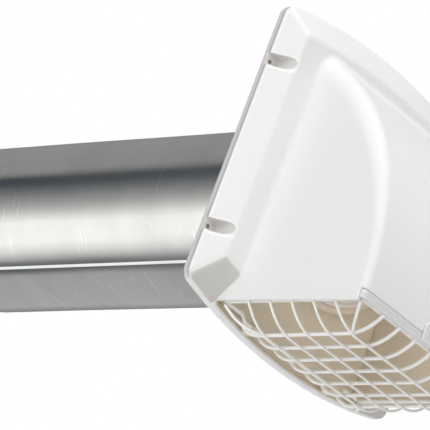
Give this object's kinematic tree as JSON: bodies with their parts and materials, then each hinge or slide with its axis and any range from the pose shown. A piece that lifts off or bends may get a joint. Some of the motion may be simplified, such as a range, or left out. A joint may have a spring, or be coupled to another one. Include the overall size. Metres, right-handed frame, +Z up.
{
  "type": "wall exhaust hood",
  "caption": "Moulded wall hood with a curved cowl open at the bottom, a hinged wire bird guard, a back-draught damper and a round metal duct tailpiece.",
  "frame": {"origin": "on the duct's axis, in the plane of the wall", "axes": "+Y back along the duct, the hood faces -Y, +Z up, +X to the right seen from the front"},
  "size_m": [0.175, 0.3972, 0.2007],
  "materials": {
    "hood_plastic": "white moulded plastic with a soft gloss",
    "duct_metal": "bright rolled sheet with fine brush lines",
    "flap_plastic": "matt pale plastic",
    "pin_steel": "plain drawn wire",
    "guard_wire": "white coated steel wire"
  },
  "bodies": {
    "root": {"hood_shell": "hood_plastic", "damper_frame": "hood_plastic", "tailpiece_pipe": "duct_metal", "damper_hinge_pin": "pin_steel"},
    "damper": {"damper_flap": "flap_plastic"},
    "guard": {"guard_long_wire_1": "guard_wire", "guard_long_wire_2": "guard_wire", "guard_long_wire_3": "guard_wire", "guard_long_wire_4": "guard_wire", "guard_long_wire_5": "guard_wire", "guard_long_wire_6": "guard_wire", "guard_long_wire_7": "guard_wire", "guard_cross_wire_1": "guard_wire", "guard_cross_wire_2": "guard_wire", "guard_cross_wire_3": "guard_wire", "guard_cross_wire_4": "guard_wire", "guard_cross_wire_5": "guard_wire", "guard_corner_wire_rear_left": "guard_wire", "guard_corner_wire_rear_right": "guard_wire", "guard_corner_wire_front_left": "guard_wire", "guard_corner_wire_front_right": "guard_wire", "guard_rim_rear": "guard_wire", "guard_rim_left": "guard_wire", "guard_rim_right": "guard_wire", "guard_rim_front": "guard_wire", "front_rail": "hood_plastic"}
  },
  "joints": [
    {"name": "damper_hinge", "type": "hinge", "parent": "root", "child": "damper", "pos_m": [0, -0.009, 0.06], "axis": [-1, 0, 0], "range_deg": [0, 45]},
    {"name": "guard_hinge", "type": "hinge", "parent": "root", "child": "guard", "pos_m": [0, -0.0128, -0.0924], "axis": [1, 0, 0], "range_deg": [0, 70]}
  ]
}
